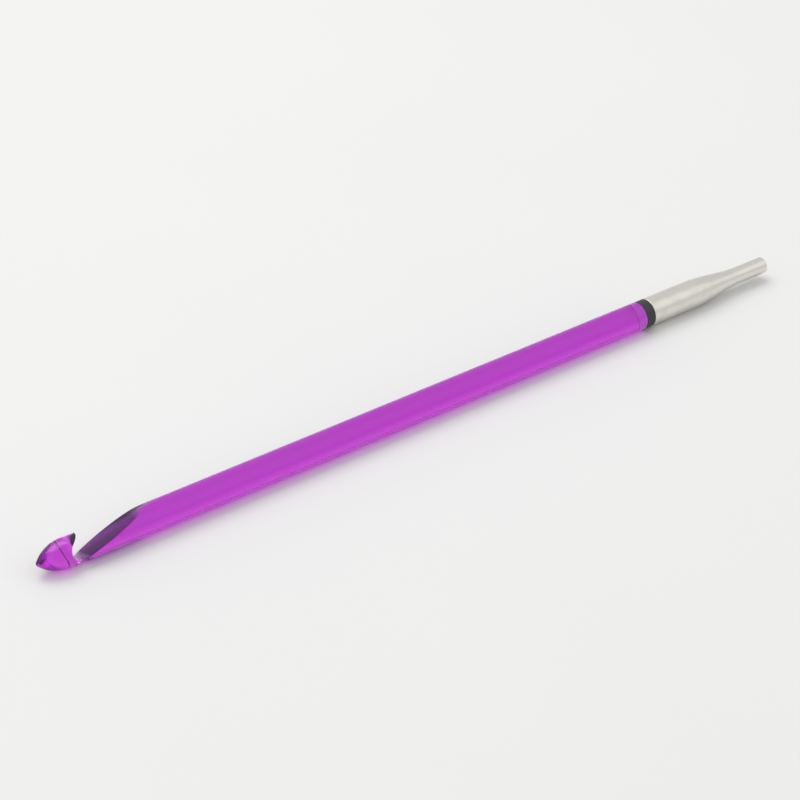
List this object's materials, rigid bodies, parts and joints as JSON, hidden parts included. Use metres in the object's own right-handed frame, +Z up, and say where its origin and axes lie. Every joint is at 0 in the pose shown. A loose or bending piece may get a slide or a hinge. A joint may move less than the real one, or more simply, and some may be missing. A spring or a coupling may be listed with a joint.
{
  "type": "crochet hook",
  "caption": "Clear acrylic crochet hook with a milled throat, a black spacer ring and a plated ferrule whose slim neck has a threaded socket for a screw-on cord.",
  "frame": {"origin": "on the surface the hook lies on, below the middle of its length", "axes": "+X along the rod from the nose to the ferrule, out of the threaded socket; +Z up from the surface; the throat opens upwards, leaning towards +Y"},
  "size_m": [0.15, 0.005, 0.005],
  "materials": {
    "acrylic": "clear violet acrylic, polished",
    "ring": "black, satin",
    "plated_metal": "bright nickel plate on turned brass, softly satin",
    "adhesive": "cured clear epoxy"
  },
  "bodies": {
    "root": {"hook_shaft": "acrylic", "spacer_ring": "ring", "ferrule": "plated_metal", "adhesive_bond": "adhesive"}
  },
  "joints": []
}
